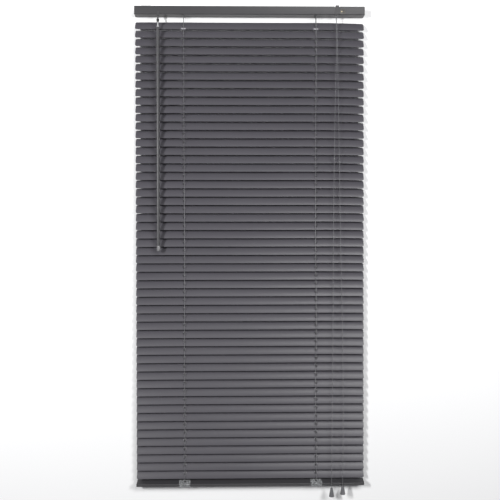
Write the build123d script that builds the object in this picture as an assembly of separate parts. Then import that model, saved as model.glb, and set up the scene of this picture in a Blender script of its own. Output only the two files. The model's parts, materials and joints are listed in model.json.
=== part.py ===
from build123d import *
import math
import os

os.makedirs("parts", exist_ok=True)

# A 25 mm venetian blind, hung and closed, with its slats' front edges down.
# X runs along the blind, -Y faces the room and +Z is up. The origin is the
# middle of the blind in the plane where its clips meet the lintel.
# All lengths are in millimetres and all angles in degrees.

# ---------------------------------------------------------------- Whole blind
blind_width = 600.0
ladder_spread = 346.0
slat_count = 55
slat_pitch = 21.8
first_slat_drop = 25.5  # from the headrail's underside to the first slat
closed_tilt = 60.0  # a closed slat's slope
seat_gap = 0.1  # between two pieces that are pushed together
running_gap = 0.05  # round a shaft in its bore
moving_gap = 0.3  # between a moving piece and its neighbour

# ------------------------------------------------------------------- Headrail
headrail_depth = 25.0
headrail_height = 22.0
headrail_wall = 0.6
headrail_bend = 1.8
headrail_lip = 3.5
end_cap_flange = 1.2
end_cap_plug = 9.0
end_cap_wall = 1.5

# ---------------------------------------------------------------- Lintel clips
clip_rise = 3.0  # from the headrail's top to the lintel
clip_inset = 30.0  # from the blind's end to the middle of a clip
clip_length = 24.0
clip_sheet = 1.0
clip_crown = 10.0  # depth of the raised middle
clip_screw_radius = 2.2

# ------------------------------------------------------------- Ladders, cords
cord_radius = 0.6
string_radius = 0.4
string_gap = 0.15  # from a closed slat's edge to the string
rung_size = 0.6
rung_side = 1.2  # from the lift cord to the rung thread beside it
stopper_radius = 3.4
stopper_length = 3.0

# ---------------------------------------------------------------------- Slats
slat_end_gap = 1.0  # how far a slat stops short of the headrail's end
slat_width = 25.0
slat_thickness = 0.5
slat_crown = 1.5
slat_flats = 3  # the crown is pressed in this many long flats
slat_pivot = 0.8  # from the slat's edges up to the line that it turns about
slat_corner = 3.5
route_slot_length = 4.0
route_slot_width = 7.0
top_clip_length = 12.0
top_clip_sheet = 0.6
top_clip_grip = 4.0

# ---------------------------------------------------------- Tilt rod and drums
rod_drop = 10.0  # from the headrail's top to the rod
rod_flats = 5.0
rod_overhang = 4.0
drum_length = 9.0
drum_flange = 1.0
drum_flange_lip = 1.3
drum_hub_radius = 3.6
cradle_ear = 1.6
cradle_base = 1.0
cradle_length = 22.0
cradle_depth = 17.0
nozzle_length = 20.0
nozzle_width = 6.6
nozzle_wall = 1.0
nozzle_drop = 1.0

# ------------------------------------------------------------ Tilter and wand
tilter_gap = 6.0  # from the left clip to the tilter's case
wand_front = 18.0  # from the blind's middle to the wand
stem_lean = 20.0
stem_radius = 1.7
stem_nose_radius = 3.3
stem_nose_length = 10.0
stem_ball_radius = 2.5
stem_ball_drop = 17.5  # from the headrail's underside to the ball
tilter_length = 28.0
tilter_hub_radius = 4.4
worm_ratio = 6.0
hook_socket_wall = 1.0
hook_waist_radius = 1.5
hook_length = 18.0
wand_flats = 8.0
wand_length = 580.0
wand_tip_length = 14.0
wand_tip_radius = 5.0
wand_cap_length = 5.0

# ------------------------------------------------------------------ Cord lock
lock_gap = 1.0  # from the right clip to the lock's case
lock_length = 36.0
lock_tongue = 14.5
lock_tab_width = 9.0
lock_tab_rise = 2.5
lock_window_width = 14.0
lock_window_height = 12.0
lock_pocket_depth = 9.0
lock_plate_sheet = 0.8
lock_hole_radius = 1.3
lock_pin_radius = 1.5
lock_roller_radius = 3.2
lock_throat_width = 7.0
lock_throat_depth = 5.0
lock_spout_wall = 1.2
lock_spout_drop = 1.5
exit_front = 9.0  # from the blind's middle to where the cords come out
exit_spacing = 1.8
exit_run = 10.0  # the drop of the cords' first run below the lock
exit_lean = 1.6  # and how far it leans to the front

# ------------------------------------------------------- Pull cords, tassels
tassel_length = 22.0
tassel_top_radius = 3.2
tassel_foot_radius = 7.0
tassel_wall = 1.2
tassel_roof = 4.0
tassel_flutes = 12
tassel_knot_radius = 1.7
stop_length = 5.0
stop_radius = 2.0

# ---------------------------------------------------------------- Bottom rail
bottom_rail_drop = 23.8  # from the last slat to the middle of the rail
bottom_rail_width = 25.0
bottom_rail_height = 8.0
bottom_rail_wall = 0.6
bottom_rail_corner = 2.2
bottom_rail_tilt = 14.5
bottom_plug_length = 8.0
cord_hole_radius = 2.6
ladder_clip_length = 30.0
ladder_clip_depth = 19.0
ladder_clip_sheet = 1.0

# --------------------------------------------------------- Places worked out
headrail_top = -clip_rise
headrail_bottom = headrail_top - headrail_height
headrail_floor = headrail_bottom + headrail_wall
inner_depth = headrail_depth - 2 * headrail_wall
inner_flat = inner_depth - 2 * (headrail_bend - headrail_wall)  # between the inside bends
rod_height = headrail_top - rod_drop
ladder_places = [-ladder_spread / 2, ladder_spread / 2]
clip_place = blind_width / 2 - clip_inset
wand_place = -clip_place + clip_length / 2 + tilter_gap + tilter_length / 2
lock_place = clip_place - clip_length / 2 - lock_gap - lock_length  # the lock's left side
first_slat_height = headrail_bottom - first_slat_drop
last_slat_height = first_slat_height - (slat_count - 1) * slat_pitch
bottom_rail_height_at = last_slat_height - bottom_rail_drop
slat_length = blind_width - 2 * slat_end_gap
tilt_sine = math.sin(math.radians(closed_tilt))
tilt_cosine = math.cos(math.radians(closed_tilt))
# A ladder's string hangs just outside the edges of the closed slats.
string_place = slat_width / 2 * tilt_cosine + slat_pivot * tilt_sine + string_gap + string_radius
drum_radius = string_place - string_radius - seat_gap
rung_drop = slat_pivot + seat_gap + rung_size
rung_half = (string_place - string_radius - rung_drop * tilt_sine - running_gap) / tilt_cosine
# One string rises and the other falls while the slats go from closed to closed.
string_travel = 2 * string_place / tilt_cosine * tilt_sine
rod_turn = math.degrees(string_travel / string_place)
wand_turn = rod_turn * worm_ratio
cord_height = headrail_floor + cradle_base + seat_gap + cord_radius
exit_height = headrail_bottom - lock_spout_drop
ball_height = headrail_bottom - stem_ball_drop
exit_middle = lock_place + lock_tongue / 3


def save(name, pieces):
    """Write the pieces, each its own solid, as one node."""
    export_step(Compound(label=name, children=pieces), f"parts/{name}.step")


def named(piece, label):
    """Give a piece the name that it has on the bench."""
    solid = piece.solid()
    solid.label = label
    return solid


# ------------------------------------------------------- Headrail's own pieces
def headrail_face(inset):
    """The headrail's outline in the YZ plane, smaller by inset all round."""
    outline = Rectangle(headrail_depth - 2 * inset, headrail_height - 2 * inset)
    if inset < headrail_wall:
        outline = fillet(outline.vertices(), headrail_bend - inset)
    else:
        outline = chamfer(outline.vertices(), headrail_bend - headrail_wall)
    middle = (headrail_top + headrail_bottom) / 2
    return Plane.YZ * Pos(0, middle) * outline


def stem_axis(along):
    """A place on the leaning stem, measured up from the ball."""
    lean = math.radians(stem_lean)
    front = -wand_front + along * math.sin(lean)
    return Pos(wand_place, front, ball_height + along * math.cos(lean)) * Rot(-stem_lean, 0, 0)


def ladder_slot(x, gap):
    """The long hole, or the nozzle that fills it, below one ladder's drum."""
    return Pos(x, 0) * Rectangle(nozzle_width + 2 * gap, nozzle_length + 2 * gap)


def make_channel():
    """Roll-formed steel channel, open at the top between its two lips."""
    mouth = Rectangle(headrail_depth - 2 * headrail_lip, 2 * headrail_bend)
    skin = headrail_face(0) - headrail_face(headrail_wall)
    skin -= Plane.YZ * Pos(0, headrail_top) * mouth
    channel = extrude(skin, amount=blind_width / 2 - end_cap_flange, both=True)
    for x in ladder_places:
        floor = Pos(0, 0, headrail_bottom) * ladder_slot(x, seat_gap)
        channel -= extrude(floor, amount=2 * headrail_wall, both=True)
    channel -= stem_axis(stem_ball_drop) * Cylinder(stem_nose_radius + moving_gap, headrail_height)
    # The lock's tongue lies in a full-height notch, with the window beside it.
    notch = Box(lock_tongue + 2 * seat_gap, headrail_lip, headrail_height)
    channel -= Pos(
        lock_place + lock_tongue / 2,
        -headrail_depth / 2 - headrail_lip / 2 + headrail_lip,
        (headrail_top + headrail_bottom) / 2,
    ) * notch
    window = Box(lock_window_width, 2 * headrail_bend, lock_window_height)
    channel -= Pos(
        lock_place + lock_tongue + lock_window_width / 2,
        -headrail_depth / 2,
        headrail_floor + headrail_bend + lock_window_height / 2,
    ) * window
    throat = Box(lock_throat_width + 2 * seat_gap, lock_throat_depth + 2 * seat_gap, 4 * headrail_wall)
    channel -= Pos(exit_middle, -exit_front, headrail_bottom) * throat
    return channel


def make_end_cap(side):
    """Moulded cap: a flange on the channel's end and a plug inside it."""
    outer = side * blind_width / 2
    flange = extrude(Pos(outer, 0, 0) * headrail_face(0), amount=-side * end_cap_flange)
    ring = headrail_face(headrail_wall + seat_gap)
    ring -= headrail_face(headrail_wall + seat_gap + end_cap_wall)
    plug = extrude(Pos(outer - side * end_cap_flange, 0, 0) * ring, amount=-side * end_cap_plug)
    return flange + plug


def make_lintel_clip(x):
    """Pressed clip: a raised middle with the screw hole, and wings under the lips."""
    hook = headrail_top - headrail_wall - seat_gap
    wing_edge = inner_flat / 2 - seat_gap
    crown_edge = clip_crown / 2
    section = [
        (-wing_edge, hook),
        (-crown_edge, hook),
        (-crown_edge, 0),
        (crown_edge, 0),
        (crown_edge, hook),
        (wing_edge, hook),
        (wing_edge, hook - clip_sheet),
        (crown_edge - clip_sheet, hook - clip_sheet),
        (crown_edge - clip_sheet, -clip_sheet),
        (-crown_edge + clip_sheet, -clip_sheet),
        (-crown_edge + clip_sheet, hook - clip_sheet),
        (-wing_edge, hook - clip_sheet),
    ]
    face = Plane.YZ * make_face(Polyline(*section, close=True))
    clip = Pos(x, 0, 0) * extrude(face, amount=clip_length / 2, both=True)
    return clip - Pos(x, 0, 0) * Cylinder(clip_screw_radius, 4 * clip_sheet)


def make_cradle(x):
    """Moulded cradle: two open bearings for the drum, and a nozzle for the ladder."""
    base_top = headrail_floor + cradle_base
    base = Box(cradle_length, inner_flat - 2 * seat_gap, cradle_base)
    base = Pos(x, 0, headrail_floor + cradle_base / 2) * base
    nozzle_bottom = headrail_bottom - nozzle_drop
    nozzle = Pos(0, 0, nozzle_bottom) * ladder_slot(x, 0)
    cradle = base + extrude(nozzle, amount=headrail_floor - nozzle_bottom)
    mouth = Pos(0, 0, nozzle_bottom) * ladder_slot(x, -nozzle_wall)
    cradle -= extrude(mouth, amount=base_top - nozzle_bottom)
    ear_height = rod_height + drum_hub_radius / 2 - base_top
    bore = drum_hub_radius + running_gap
    for side in (-1, 1):
        ear_x = x + side * (drum_length / 2 + moving_gap + cradle_ear / 2)
        ear = Pos(ear_x, 0, base_top + ear_height / 2) * Box(cradle_ear, cradle_depth, ear_height)
        ear -= Pos(ear_x, 0, rod_height) * Rot(0, 90, 0) * Cylinder(bore, 2 * cradle_ear)
        ear -= Pos(ear_x, 0, rod_height + bore) * Box(2 * cradle_ear, 1.6 * bore, 2 * bore)
        # The lift cords run through the foot of each ear.
        tunnel = 2 * (cord_height - base_top)
        ear -= Pos(ear_x, 0, base_top) * Box(2 * cradle_ear, 10 * cord_radius, 2 * tunnel)
        cradle += ear
    return cradle


def make_tilter():
    """Closed gear case that fills the channel, with a nose for the stem."""
    case = headrail_face(headrail_wall + seat_gap)
    case = Pos(wand_place, 0, 0) * extrude(case, amount=tilter_length / 2, both=True)
    nose = stem_axis(stem_ball_drop) * Cylinder(stem_nose_radius, stem_nose_length)
    case += nose
    case -= Pos(wand_place, 0, rod_height) * Rot(0, 90, 0) * Cylinder(
        tilter_hub_radius + running_gap, 2 * tilter_length
    )
    return case - stem_axis(stem_ball_drop) * Cylinder(stem_radius, stem_nose_length)


def make_stem():
    """The tilter's leaning stem, down to the turned knob that the wand hangs on."""
    top = stem_ball_drop + stem_nose_length / 2
    ball = stem_ball_radius
    slant = ball * math.sqrt(0.5)
    section = [(0, -ball), (slant, -slant), (ball, 0), (stem_radius, ball), (stem_radius, top), (0, top)]
    stem = revolve(Plane.XZ * make_face(Polyline(*section, close=True)), axis=Axis.Z)
    return stem_axis(0) * stem


# ------------------------------------------------------- Cord lock's pieces
lock_window_middle = lock_place + lock_tongue + lock_window_width / 2
lock_window_height_at = headrail_floor + headrail_bend + lock_window_height / 2
lock_face = -headrail_depth / 2 + headrail_wall + seat_gap


def make_lock_case():
    """Moulded case: tongue in the headrail's front, pocket, throat and spout."""
    case = headrail_face(headrail_wall + seat_gap)
    case = Pos(lock_place, 0, 0) * extrude(case, amount=lock_length)
    tongue = Box(lock_tongue, headrail_lip, headrail_height - 2 * headrail_bend)
    case += Pos(
        lock_place + lock_tongue / 2,
        -headrail_depth / 2 + headrail_lip / 2,
        (headrail_top + headrail_bottom) / 2,
    ) * tongue
    tab = Box(lock_tab_width, headrail_lip, 2 * (lock_tab_rise + headrail_bend))
    case += Pos(
        lock_place + lock_tongue / 2,
        -headrail_depth / 2 + headrail_lip / 2,
        headrail_top - headrail_bend,
    ) * tab
    pocket = Box(lock_window_width, 2 * lock_pocket_depth, lock_window_height)
    case -= Pos(lock_window_middle, lock_face, lock_window_height_at) * pocket
    spout = Box(lock_throat_width, lock_throat_depth, headrail_floor - exit_height + headrail_wall)
    case += Pos(exit_middle, -exit_front, (headrail_floor + exit_height + headrail_wall) / 2) * spout
    # The cords come in low on the left, turn to the front and drop out.
    throat_width = lock_throat_width - 2 * lock_spout_wall
    throat_depth = lock_throat_depth - 2 * lock_spout_wall
    roof = cord_height + 3 * cord_radius
    throat = Box(throat_width, throat_depth, roof - exit_height)
    case -= Pos(exit_middle, -exit_front, (roof + exit_height) / 2) * throat
    way_left = lock_place - seat_gap
    way_right = exit_middle + throat_width / 2
    way_front = -exit_front - throat_depth / 2
    way_back = 4 * cord_radius
    way_bottom = headrail_floor
    way = Box(way_right - way_left, way_back - way_front, roof - way_bottom)
    case -= Pos((way_left + way_right) / 2, (way_front + way_back) / 2, (roof + way_bottom) / 2) * way
    case -= lock_pin_hole()
    return case


def lock_pin_hole():
    """Where the roller's pin is held, front to back."""
    return lock_pin_place() * Cylinder(lock_pin_radius, 2 * lock_pocket_depth + 4 * lock_pin_radius)


def lock_pin_place():
    """The pin's middle, at the pocket's mouth, with the pin along Y."""
    x = lock_window_middle - lock_window_width / 6
    return Pos(x, lock_face, lock_window_height_at) * Rot(90, 0, 0)


def make_lock_plate():
    """Steel plate over the pocket, with the pin's hole and two round windows."""
    plate = Box(lock_window_width, lock_plate_sheet, lock_window_height)
    plate = Pos(lock_window_middle, lock_face + lock_plate_sheet / 2, lock_window_height_at) * plate
    plate -= lock_pin_place() * Cylinder(lock_pin_radius, 4 * lock_plate_sheet)
    for side in (-1, 1):
        hole = Rot(90, 0, 0) * Cylinder(lock_hole_radius, 4 * lock_plate_sheet)
        x = lock_window_middle + lock_window_width / 5
        plate -= Pos(x, lock_face, lock_window_height_at + side * lock_window_height / 4) * hole
    return plate


def make_lock_roller():
    """Brass roller that grips the cords, on its pin inside the pocket."""
    length = lock_pocket_depth - lock_plate_sheet - 2 * moving_gap
    roller = Cylinder(lock_roller_radius, length) - Cylinder(lock_pin_radius + running_gap, length)
    middle = -(lock_plate_sheet + moving_gap + length / 2)
    return lock_pin_place() * Pos(0, 0, middle) * roller


def make_lock_pin():
    """The roller's pin, from the plate's face to its seat behind the pocket."""
    length = lock_pocket_depth + 2 * lock_pin_radius
    return lock_pin_place() * Pos(0, 0, -length / 2) * Cylinder(lock_pin_radius, length)


# ------------------------------------------------------- Tilt rod's pieces
def along_rod(x, shape):
    """Lay a shape made along Z on the rod's axis."""
    return Pos(x, 0, rod_height) * Rot(0, 90, 0) * shape


def make_rod():
    """Hexagonal steel rod from the tilter to beyond the far drum."""
    start = wand_place - tilter_length / 2
    end = ladder_places[1] + drum_length / 2 + moving_gap + cradle_ear + rod_overhang
    hexagon = RegularPolygon(rod_flats / 2, 6, major_radius=False)
    return along_rod(start, extrude(hexagon, amount=end - start))


def rod_bore(length):
    """The hexagonal hole through a drum or a hub."""
    hexagon = RegularPolygon(rod_flats / 2, 6, major_radius=False)
    return extrude(hexagon, amount=length / 2, both=True)


def make_drum(x):
    """Flanged drum that the ladder's string passes over, with a hub each side."""
    drum = Cylinder(drum_radius, drum_length)
    for side in (-1, 1):
        flange = Cylinder(drum_radius + drum_flange_lip, drum_flange)
        drum += Pos(0, 0, side * (drum_length - drum_flange) / 2) * flange
    hub_length = drum_length + 2 * (moving_gap + cradle_ear)
    drum += Cylinder(drum_hub_radius, hub_length)
    return along_rod(x, drum - rod_bore(hub_length))


def make_tilter_hub():
    """Round hub of the tilter's wheel, which turns in the gear case."""
    return along_rod(wand_place, Cylinder(tilter_hub_radius, tilter_length) - rod_bore(tilter_length))


# ------------------------------------------------------------ Wand's pieces
def make_hook():
    """Clear link with a socket round the stem's ball and a foot on the wand."""
    inner = stem_ball_radius + seat_gap
    outer = inner + hook_socket_wall
    section = [
        (0, -inner),
        (0, -hook_length),
        (outer, -hook_length),
        (hook_waist_radius, -hook_length * 0.7),
        (hook_waist_radius, -hook_length * 0.45),
        (outer, -inner / 2),
        (outer, 0),
        (inner, 0),
        (inner, -inner),
    ]
    socket = revolve(Plane.XZ * make_face(Polyline(*section, close=True)), axis=Axis.Z)
    return Pos(wand_place, -wand_front, ball_height) * socket


def make_wand_rod():
    """Hexagonal wand with a tapered top."""
    hexagon = RegularPolygon(wand_flats / 2, 6, major_radius=False)
    top = ball_height - hook_length
    shaft = Pos(0, 0, -wand_cap_length) * extrude(hexagon, amount=-(wand_length - wand_cap_length - wand_tip_length / 2))
    cap = extrude(Pos(0, 0, -wand_cap_length) * hexagon, amount=wand_cap_length, taper=8)
    return Pos(wand_place, -wand_front, top) * (shaft + cap)


def make_wand_tip():
    """Round-ended sleeve on the wand's foot."""
    bottom = ball_height - hook_length - wand_length
    tip = Cylinder(wand_tip_radius, wand_tip_length)
    tip = chamfer(tip.faces().sort_by(Axis.Z)[0].edges(), wand_tip_radius * 0.4)
    seat = extrude(RegularPolygon(wand_flats / 2, 6, major_radius=False), amount=wand_tip_length)
    return Pos(wand_place, -wand_front, bottom + wand_tip_length / 2) * (tip - seat)


# --------------------------------------------------------------- The slats
def crown_line(lift):
    """Points across the crowned section, lift above its underside."""
    radius = ((slat_width / 2) ** 2 + slat_crown**2) / (2 * slat_crown)
    half_angle = math.asin(slat_width / 2 / radius)
    steps = [half_angle * (2 * step / slat_flats - 1) for step in range(slat_flats + 1)]
    middle = slat_crown - radius - slat_pivot
    outer = radius + lift
    return [(outer * math.sin(angle), middle + outer * math.cos(angle)) for angle in steps]


def make_slat():
    """One crowned slat, lying flat, with the line that it turns about on X."""
    section = crown_line(0) + crown_line(slat_thickness)[::-1]
    face = Plane.YZ * make_face(Polyline(*section, close=True))
    slat = extrude(face, amount=slat_length / 2, both=True)
    plan = chamfer(Rectangle(slat_length, slat_width).vertices(), slat_corner)
    slat &= extrude(plan, amount=4 * slat_crown, both=True)
    for x in ladder_places:
        slat -= Pos(x, 0) * Box(route_slot_length, route_slot_width, 8 * slat_crown)
    return slat


def make_rung(x):
    """The ladder's cross thread that one slat lies on."""
    return Pos(x, 0, rung_size / 2 - rung_drop) * Box(rung_size, 2 * rung_half, rung_size)


def make_top_clip(x):
    """Clear clip folded over the first slat's front edge, notched for the rung."""
    edge, next_edge = crown_line(slat_thickness / 2)[:2]
    slope = math.degrees(math.atan2(next_edge[1] - edge[1], next_edge[0] - edge[0]))
    inside = slat_thickness + 2 * seat_gap
    clip = Box(top_clip_length, top_clip_grip, inside + 2 * top_clip_sheet)
    clip -= Pos(0, top_clip_sheet, 0) * Box(2 * top_clip_length, top_clip_grip, inside)
    offset = top_clip_grip / 2 - top_clip_sheet - seat_gap
    clip = Pos(x, *edge) * Rot(slope, 0, 0) * Pos(0, offset, 0) * clip
    notch = Box(rung_size + 2 * seat_gap, 2 * (rung_half + seat_gap), rung_size + 2 * seat_gap)
    return clip - Pos(x + rung_side, 0, rung_size / 2 - rung_drop) * notch


# --------------------------------------------------------- Bottom rail's pieces
def bottom_face(inset):
    """The bottom rail's outline in the YZ plane, smaller by inset all round."""
    outline = Rectangle(bottom_rail_width - 2 * inset, bottom_rail_height - 2 * inset)
    if inset < bottom_rail_wall:
        return Plane.YZ * fillet(outline.vertices(), bottom_rail_corner - inset)
    return Plane.YZ * chamfer(outline.vertices(), bottom_rail_corner - bottom_rail_wall)


def make_bottom_tube():
    """Hollow rail with a hole through it under each ladder."""
    skin = bottom_face(0) - bottom_face(bottom_rail_wall)
    tube = extrude(skin, amount=slat_length / 2 - end_cap_flange, both=True)
    for x in ladder_places:
        tube -= Pos(x, 0, 0) * Cylinder(cord_hole_radius, 2 * bottom_rail_height)
    return tube


def make_bottom_plug(side):
    """Moulded plug: a flange on the rail's end and a block inside it."""
    outer = side * slat_length / 2
    flange = extrude(Pos(outer, 0, 0) * bottom_face(0), amount=-side * end_cap_flange)
    block = bottom_face(bottom_rail_wall + seat_gap)
    inner = outer - side * end_cap_flange
    return flange + extrude(Pos(inner, 0, 0) * block, amount=-side * bottom_plug_length)


def make_ladder_clip(x):
    """Clear clip over the rail's top and front edge, holding the ladder's ends."""
    front = -bottom_rail_width / 2
    top = bottom_rail_height / 2
    reach = ladder_clip_sheet + seat_gap
    outer = Plane.YZ * Pos(front - reach + ladder_clip_depth / 2, 0) * Rectangle(
        ladder_clip_depth, bottom_rail_height + 2 * reach
    )
    outer = fillet(outer.vertices().sort_by(Axis.Y)[:2], bottom_rail_corner)
    clip = Pos(x, 0, 0) * extrude(outer, amount=ladder_clip_length / 2, both=True)
    clip -= Pos(x, 0, 0) * extrude(bottom_face(-seat_gap), amount=ladder_clip_length, both=True)
    below = Box(2 * ladder_clip_length, bottom_rail_width, bottom_rail_height)
    clip -= Pos(x, front + bottom_rail_width / 2, -top - seat_gap) * below
    return clip - Pos(x, 0, 0) * Cylinder(cord_hole_radius, 2 * bottom_rail_height)


# ------------------------------------------------------------------- Cords
def swept(path, section):
    """A section carried along a path of straight runs and tangent arcs."""
    return sweep(Plane(origin=path @ 0, z_dir=path % 0) * section, path=path)


def make_ladder(x):
    """The ladder's string: up the front, over the drum and down the back."""
    clip_top = bottom_rail_height / 2 + seat_gap + ladder_clip_sheet + moving_gap
    slope = math.tan(math.radians(bottom_rail_tilt))
    rise = clip_top / math.cos(math.radians(bottom_rail_tilt))
    radius = string_radius * slope
    front = bottom_rail_height_at + rise - string_place * slope + radius
    back = bottom_rail_height_at + rise + string_place * slope + radius
    over = rod_height + string_place
    path = Curve() + [
        Line((x, -string_place, front), (x, -string_place, rod_height)),
        ThreePointArc((x, -string_place, rod_height), (x, 0, over), (x, string_place, rod_height)),
        Line((x, string_place, rod_height), (x, string_place, back)),
    ]
    return swept(Wire(path.edges()), Rectangle(2 * string_radius, 2 * string_radius))


def make_lift_cord(x, drift, exit_x):
    """Lift cord: up from its knot, along the headrail and out of the lock."""
    points = [
        (x, 0, stopper_top()),
        (x, 0, cord_height),
        (exit_x, drift, cord_height),
        (exit_x, -exit_front, cord_height),
        (exit_x, -exit_front, exit_height),
    ]
    turns = [5 * cord_radius, 5 * cord_radius, 5 * cord_radius]
    return swept(FilletPolyline(*points, radius=turns), RegularPolygon(cord_radius, 6))


def stopper_top():
    """Height of the stopper's top, just under the tilted bottom rail."""
    tilt = math.radians(bottom_rail_tilt)
    under = bottom_rail_height / 2 / math.cos(tilt) + stopper_radius * math.tan(tilt)
    return bottom_rail_height_at - under - moving_gap


def make_stopper(x):
    """Stopper under the bottom rail, which the lift cord is tied into."""
    return Pos(x, 0, stopper_top()) * extrude(RegularPolygon(stopper_radius, 8), amount=-stopper_length)


# Each pull cord leaves the lock at the first point and hangs to its tassel.
exit_left = exit_middle - exit_spacing / 2
exit_right = exit_middle + exit_spacing / 2
left_pull_points = [
    (exit_left, -exit_front, exit_height),
    (exit_left + 0.1, -exit_front - exit_lean, exit_height - exit_run),
    (exit_left + 0.4, -14.2, -58),
    (exit_left + 1.4, -15.0, -110),
    (exit_left - 2.1, -15.1, -212),
    (exit_left - 5.2, -14.9, -400),
    (exit_left - 8.0, -15.1, -620),
    (exit_left - 8.4, -14.9, -850),
    (exit_left - 11.4, -15.1, -1080),
    (exit_left - 12.4, -15.0, -1263),
]
right_pull_points = [
    (exit_right, -exit_front, exit_height),
    (exit_right + 0.1, -exit_front - exit_lean, exit_height - exit_run),
    (exit_right + 0.3, -14.2, -58),
    (exit_right + 1.3, -15.0, -110),
    (exit_right + 3.1, -15.1, -212),
    (exit_right + 6.2, -14.9, -410),
    (exit_right + 9.6, -15.1, -625),
    (exit_right + 14.8, -14.9, -850),
    (exit_right + 16.9, -15.1, -1075),
    (exit_right + 14.9, -15.0, -1257),
]


def route_radii(points):
    """Each corner's arc, as large as its two runs allow."""
    radii = []
    for before, corner, after in zip(points, points[1:], points[2:]):
        first = Vector(*corner) - Vector(*before)
        second = Vector(*after) - Vector(*corner)
        half_turn = math.radians(first.get_angle(second)) / 2
        radii.append(0.45 * min(first.length, second.length) / math.tan(half_turn))
    return radii


def make_pull_cord(name, points):
    """A pull cord's tube, from the lock's spout to its tassel."""
    radii = route_radii(points)
    path = FilletPolyline(*points, radius=radii)
    section = RegularPolygon(cord_radius, 6)
    tube = swept(path, section)
    share = tube.volume / (section.area * path.length)
    print(name, "length", round(path.length), "volume share", round(share, 4), "least radius", round(min(radii)))
    return tube


def make_stop(points):
    """Small bead on a pull cord, at the middle point of its route."""
    ring = RegularPolygon(stop_radius, 8) - RegularPolygon(cord_radius + 2 * seat_gap, 8)
    return Pos(*points[len(points) // 2]) * extrude(ring, amount=stop_length / 2, both=True)


def make_tassel(points):
    """Moulded fluted cone on a pull cord's end, hollow from below."""
    slope = math.degrees(math.atan2(tassel_foot_radius - tassel_top_radius, tassel_length))
    outer = RegularPolygon(tassel_foot_radius, tassel_flutes)
    cone = extrude(outer, amount=tassel_length, taper=slope)
    inner = RegularPolygon(tassel_foot_radius - tassel_wall, tassel_flutes)
    cone -= extrude(inner, amount=tassel_length - tassel_roof, taper=slope)
    cone -= extrude(RegularPolygon(cord_radius + seat_gap, 6), amount=2 * tassel_length)
    return Pos(*points[-1]) * Pos(0, 0, -tassel_length) * cone


def make_tassel_knot(points):
    """The cord's own end and knot, which hold the tassel up from inside."""
    end = extrude(RegularPolygon(cord_radius, 6), amount=-tassel_roof - seat_gap)
    knot = extrude(RegularPolygon(tassel_knot_radius, 6), amount=-2 * tassel_knot_radius)
    return Pos(*points[-1]) * (end + Pos(0, 0, -tassel_roof - seat_gap) * knot)


# ------------------------------------------------------------ Build and save
headrail = [named(make_channel(), "headrail_channel")]
headrail += [named(make_end_cap(side), "end_cap") for side in (-1, 1)]
headrail += [named(make_lintel_clip(side * clip_place), "lintel_clip") for side in (-1, 1)]
headrail += [named(make_cradle(x), "drum_cradle") for x in ladder_places]
headrail += [named(make_tilter(), "tilter_case"), named(make_stem(), "tilter_stem")]
headrail += [named(make_lock_case(), "lock_case"), named(make_lock_plate(), "lock_plate")]
headrail += [named(make_lock_roller(), "lock_roller"), named(make_lock_pin(), "lock_pin")]
save("headrail", headrail)

tilt_rod = [named(make_rod(), "rod"), named(make_tilter_hub(), "tilter_hub")]
tilt_rod += [named(make_drum(x), "drum") for x in ladder_places]
save("tilt_rod", tilt_rod)

save("tilt_wand", [named(make_hook(), "hook"), named(make_wand_rod(), "wand"), named(make_wand_tip(), "wand_tip")])

flat_slat = make_slat()
rungs = [make_rung(x + rung_side) for x in ladder_places]
for number in range(slat_count):
    height = first_slat_height - number * slat_pitch
    pieces = [flat_slat] + rungs
    if number == 0:
        pieces += [make_top_clip(x) for x in ladder_places]
    seat = Pos(0, 0, height) * Rot(closed_tilt, 0, 0)
    save(f"slat_{number + 1:02d}", [named(seat * piece, "slat_piece") for piece in pieces])

rail_seat = Pos(0, 0, bottom_rail_height_at) * Rot(bottom_rail_tilt, 0, 0)
bottom_rail = [make_bottom_tube()]
bottom_rail += [make_bottom_plug(side) for side in (-1, 1)]
bottom_rail += [make_ladder_clip(x) for x in ladder_places]
save("bottom_rail", [named(rail_seat * piece, "bottom_rail_piece") for piece in bottom_rail])

cords = [named(make_ladder(x), "ladder_string") for x in ladder_places]
cords += [named(make_lift_cord(ladder_places[0], -3 * cord_radius, exit_left), "left_lift_cord")]
cords += [named(make_lift_cord(ladder_places[1], cord_radius, exit_right), "right_lift_cord")]
cords += [named(make_stopper(x), "stopper") for x in ladder_places]
for name, points in (("left_pull_cord", left_pull_points), ("right_pull_cord", right_pull_points)):
    cords += [named(make_pull_cord(name, points), name), named(make_stop(points), "cord_stop")]
    cords += [named(make_tassel(points), "tassel"), named(make_tassel_knot(points), "tassel_knot")]
save("cords", cords)

print("rod turn", round(rod_turn, 2), "wand turn", round(wand_turn, 1), "string", round(string_place, 3))
print("last slat", round(last_slat_height, 2), "bottom rail", round(bottom_rail_height_at, 2))
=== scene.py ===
# %% [markdown]
# # A venetian blind, dressed on its frame
#
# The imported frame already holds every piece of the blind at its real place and
# size. This lesson gives each piece its finish. Slats, cords, wand and tassels
# are worked out again as smooth surfaces with numpy, because a frame made for
# collisions draws them with few faces. The headrail, its hardware and the bottom
# rail keep the frame's own shape, split into their separate pieces.

# %% Load the frame
import json
import math

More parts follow.
